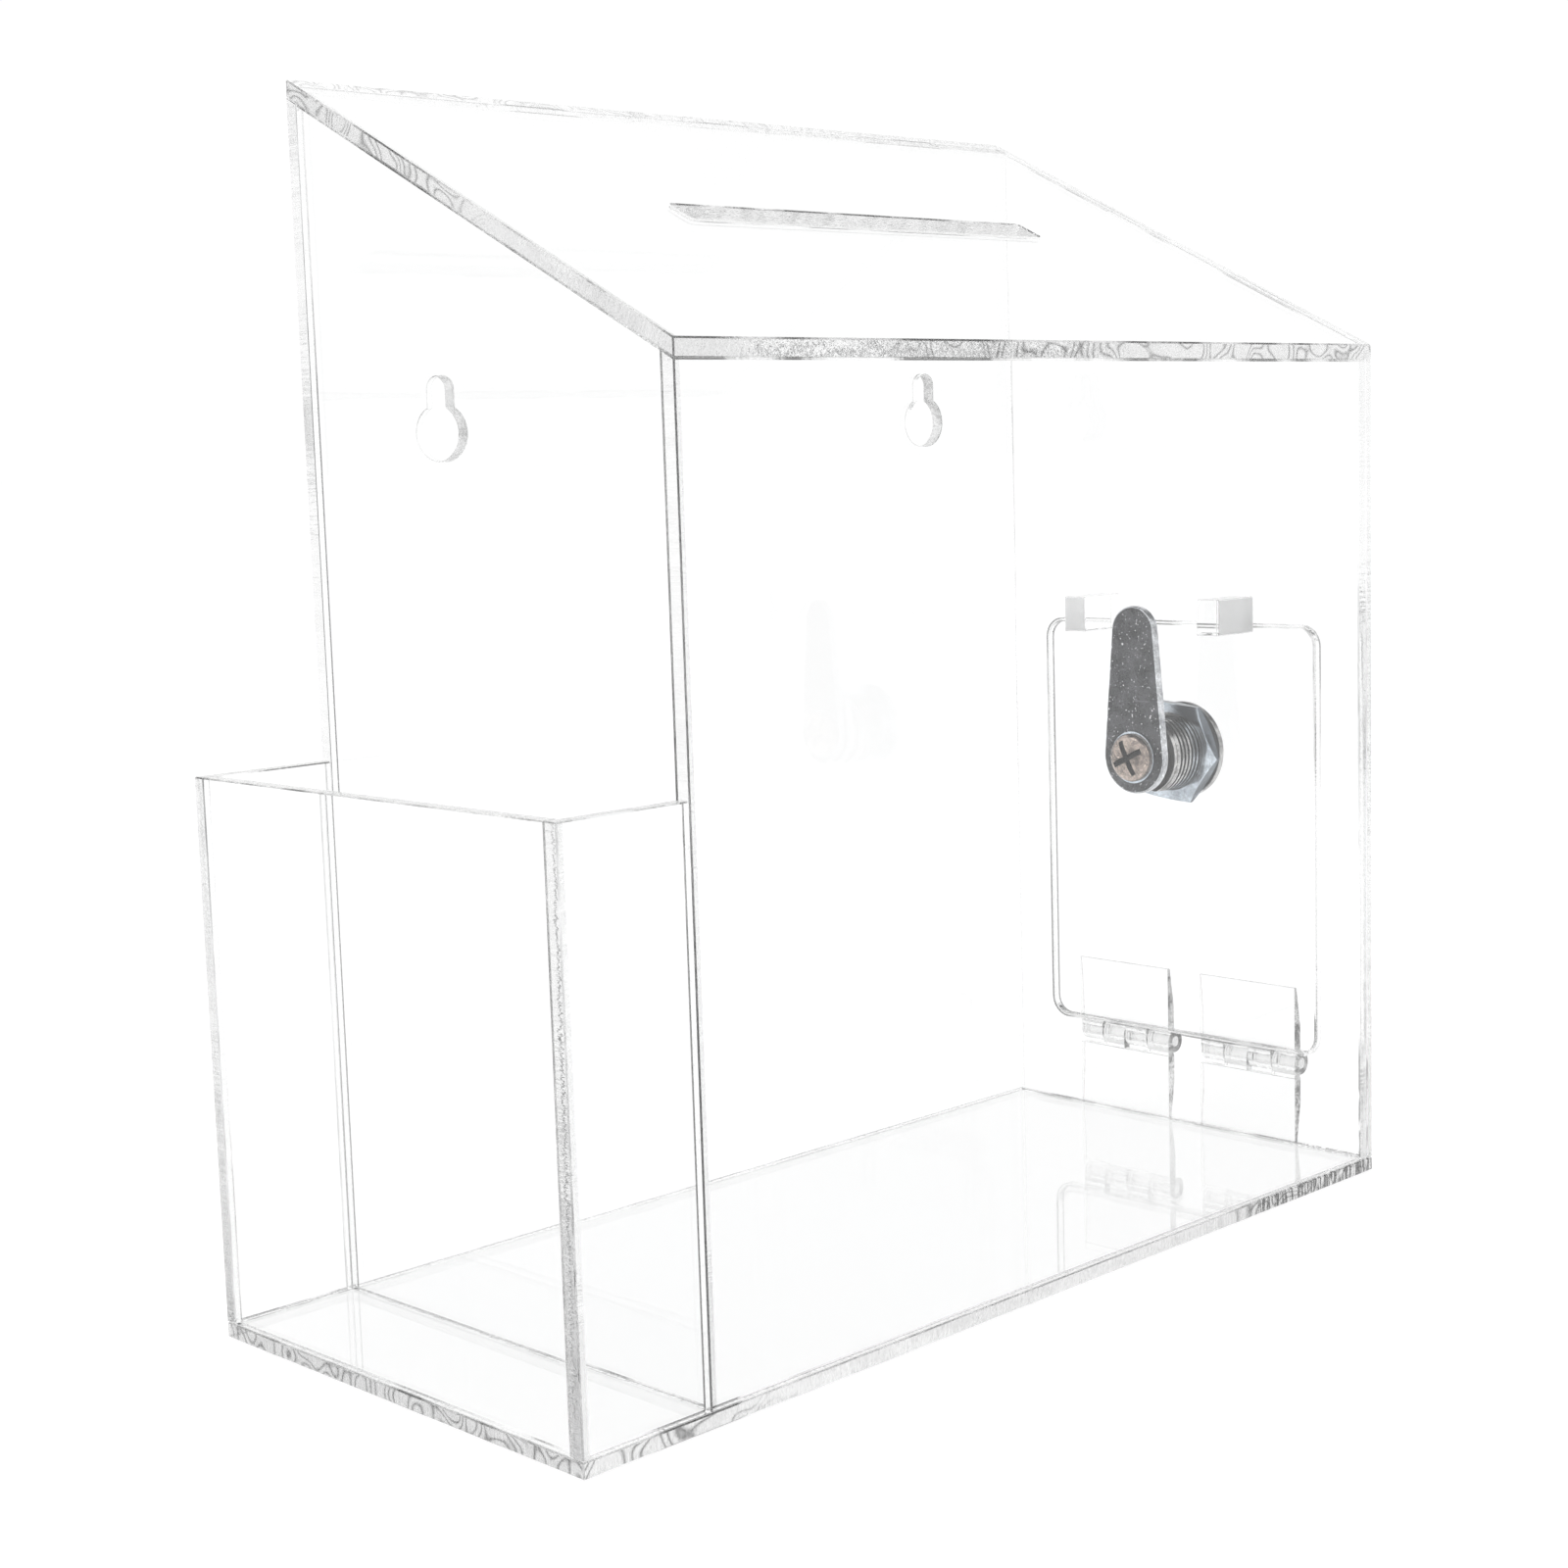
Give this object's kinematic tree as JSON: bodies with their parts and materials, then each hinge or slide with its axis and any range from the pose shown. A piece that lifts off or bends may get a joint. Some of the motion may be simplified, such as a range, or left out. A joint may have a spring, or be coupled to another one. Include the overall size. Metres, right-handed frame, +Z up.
{
  "type": "donation box",
  "caption": "Clear acrylic donation box with a sloping slotted roof, a leaflet pocket on one side and a hinged, cam-locked access door in the other",
  "frame": {"origin": "centre of the base plate's underside, which is the footprint of the box and its pocket", "axes": "+X from the leaflet pocket towards the locking door, +Y towards the back wall with the keyholes, +Z up"},
  "size_m": [0.2334, 0.103, 0.232],
  "materials": {
    "clear_acrylic": "clear colourless acrylic sheet with laser-cut polished edges",
    "frosted_acrylic": "clear acrylic block with a frosted sawn face",
    "clear_moulding": "clear injection-moulded plastic, glossy",
    "clear_pin": "clear plastic rod",
    "nickel_plate": "bright nickel plate",
    "zinc_plate": "bright bluish zinc plate",
    "steel_plate": "flat stamped steel, dull dark grey plate",
    "brass": "stamped brass",
    "spring_steel": "fine spring wire"
  },
  "bodies": {
    "case": {"base_plate": "clear_acrylic", "front_panel": "clear_acrylic", "back_panel": "clear_acrylic", "left_side_panel": "clear_acrylic", "right_side_panel": "clear_acrylic", "roof_panel": "clear_acrylic", "pocket_outer_panel": "clear_acrylic", "pocket_front_panel": "clear_acrylic", "pocket_back_panel": "clear_acrylic", "door_stop_front": "frosted_acrylic", "door_stop_rear": "frosted_acrylic", "hinge_front_wall_leaf": "clear_moulding", "hinge_rear_wall_leaf": "clear_moulding", "hinge_front_pin": "clear_pin", "hinge_rear_pin": "clear_pin"},
    "door": {"access_door": "clear_acrylic", "hinge_front_door_leaf": "clear_moulding", "hinge_rear_door_leaf": "clear_moulding", "lock_housing": "nickel_plate", "lock_nut": "zinc_plate"},
    "lock_core": {"lock_plug": "nickel_plate", "lock_wafers": "brass", "wafer_springs": "spring_steel", "stop_washer": "steel_plate", "cam": "steel_plate", "cam_washer": "zinc_plate", "cam_screw": "nickel_plate"}
  },
  "joints": [
    {"name": "door_swing", "type": "hinge", "parent": "case", "child": "door", "pos_m": [0.1168, 0, 0.0208], "axis": [0, 1, 0], "range_deg": [0, 100]},
    {"name": "lock_turn", "type": "hinge", "parent": "door", "child": "lock_core", "pos_m": [0.114, 0, 0.0907], "axis": [-1, 0, 0], "range_deg": [0, 90]}
  ]
}
